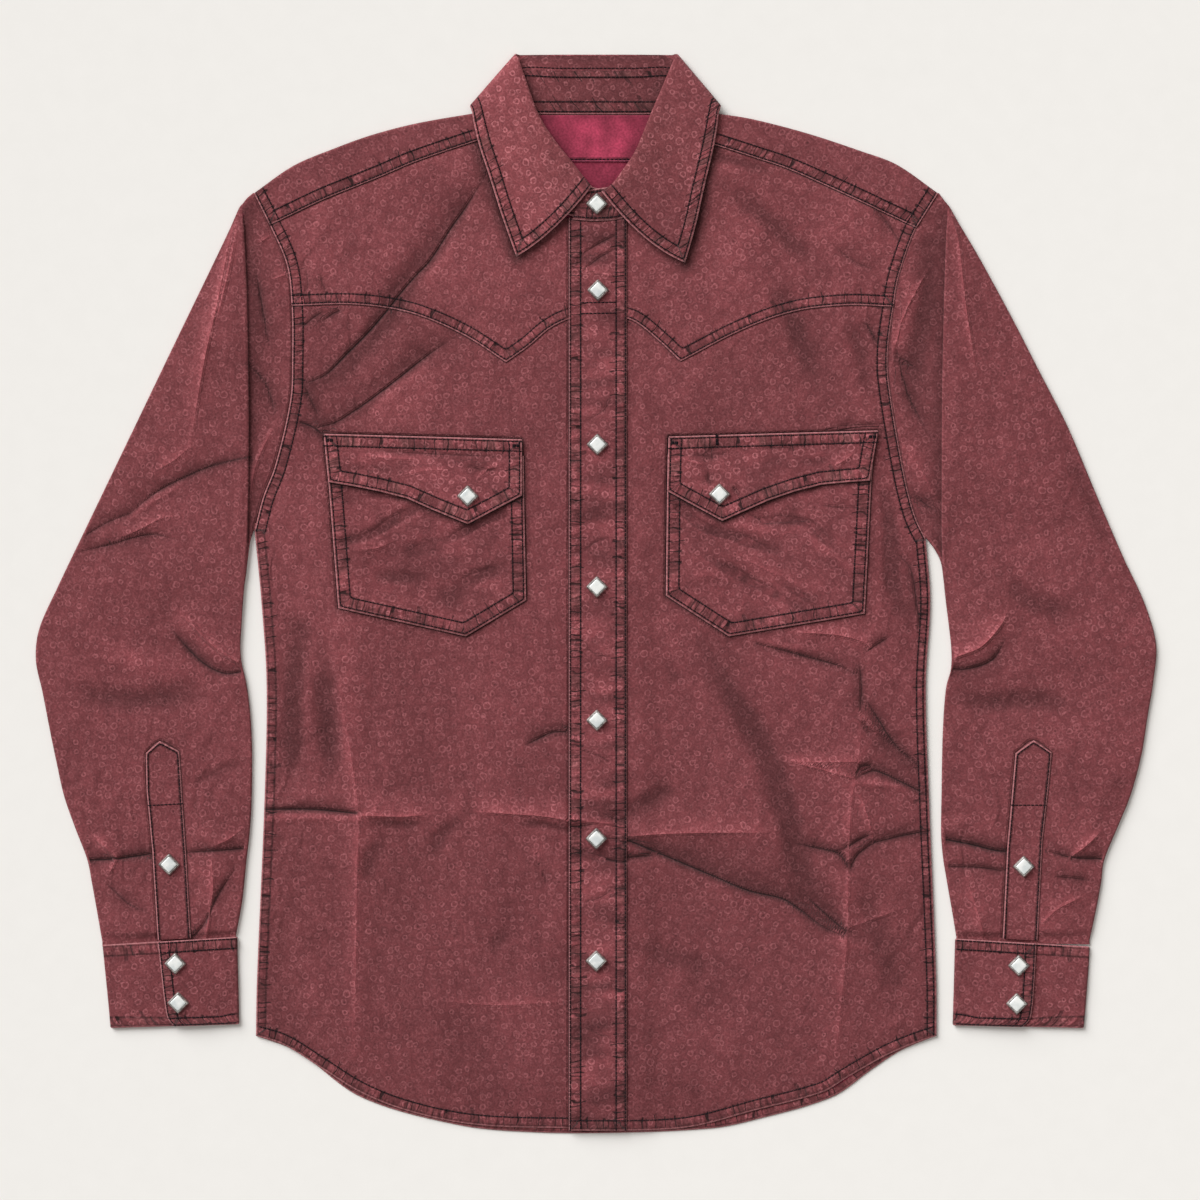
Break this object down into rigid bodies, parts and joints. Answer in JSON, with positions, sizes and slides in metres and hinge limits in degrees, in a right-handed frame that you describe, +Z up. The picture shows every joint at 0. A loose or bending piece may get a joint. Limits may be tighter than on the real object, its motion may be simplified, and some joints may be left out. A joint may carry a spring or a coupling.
{
  "type": "western snap shirt",
  "caption": "Long-sleeved western shirt laid flat, with pointed yokes, flap pockets, snap placket, spread collar and snapped cuffs.",
  "frame": {"origin": "centre of the bounding box's underside, on the surface that the shirt's back lies on", "axes": "+X to the wearer's left, +Y from the hem towards the collar, +Z up out of the shirt's front"},
  "size_m": [0.8402, 0.8093, 0.0114],
  "materials": {
    "shirting": "faded washed burgundy cotton",
    "shirting_inside": "bright crimson inside of the cloth",
    "snap_rim": "darkened nickel plate",
    "pearl": "white pearl"
  },
  "bodies": {
    "root": {"back": "shirting", "back_yoke": "shirting", "neck_facing": "shirting_inside", "front_right": "shirting", "front_left": "shirting", "front_yoke_right": "shirting", "front_yoke_left": "shirting", "placket": "shirting", "pocket_right": "shirting", "pocket_left": "shirting", "pocket_flap_right": "shirting", "pocket_flap_left": "shirting", "sleeve_right": "shirting", "sleeve_left": "shirting", "sleeve_placket_right": "shirting", "sleeve_placket_left": "shirting", "cuff_right": "shirting", "cuff_left": "shirting", "collar_stand": "shirting", "collar_fall": "shirting", "snap_rim_collar": "snap_rim", "snap_pearl_collar": "pearl", "snap_rim_placket_1": "snap_rim", "snap_pearl_placket_1": "pearl", "snap_rim_placket_2": "snap_rim", "snap_pearl_placket_2": "pearl", "snap_rim_placket_3": "snap_rim", "snap_pearl_placket_3": "pearl", "snap_rim_placket_4": "snap_rim", "snap_pearl_placket_4": "pearl", "snap_rim_placket_5": "snap_rim", "snap_pearl_placket_5": "pearl", "snap_rim_placket_6": "snap_rim", "snap_pearl_placket_6": "pearl", "snap_rim_flap_right": "snap_rim", "snap_pearl_flap_right": "pearl", "snap_rim_flap_left": "snap_rim", "snap_pearl_flap_left": "pearl", "snap_rim_sleeve_right": "snap_rim", "snap_pearl_sleeve_right": "pearl", "snap_rim_sleeve_left": "snap_rim", "snap_pearl_sleeve_left": "pearl", "snap_rim_cuff_right_upper": "snap_rim", "snap_pearl_cuff_right_upper": "pearl", "snap_rim_cuff_right_lower": "snap_rim", "snap_pearl_cuff_right_lower": "pearl", "snap_rim_cuff_left_upper": "snap_rim", "snap_pearl_cuff_left_upper": "pearl", "snap_rim_cuff_left_lower": "snap_rim", "snap_pearl_cuff_left_lower": "pearl"}
  },
  "joints": []
}
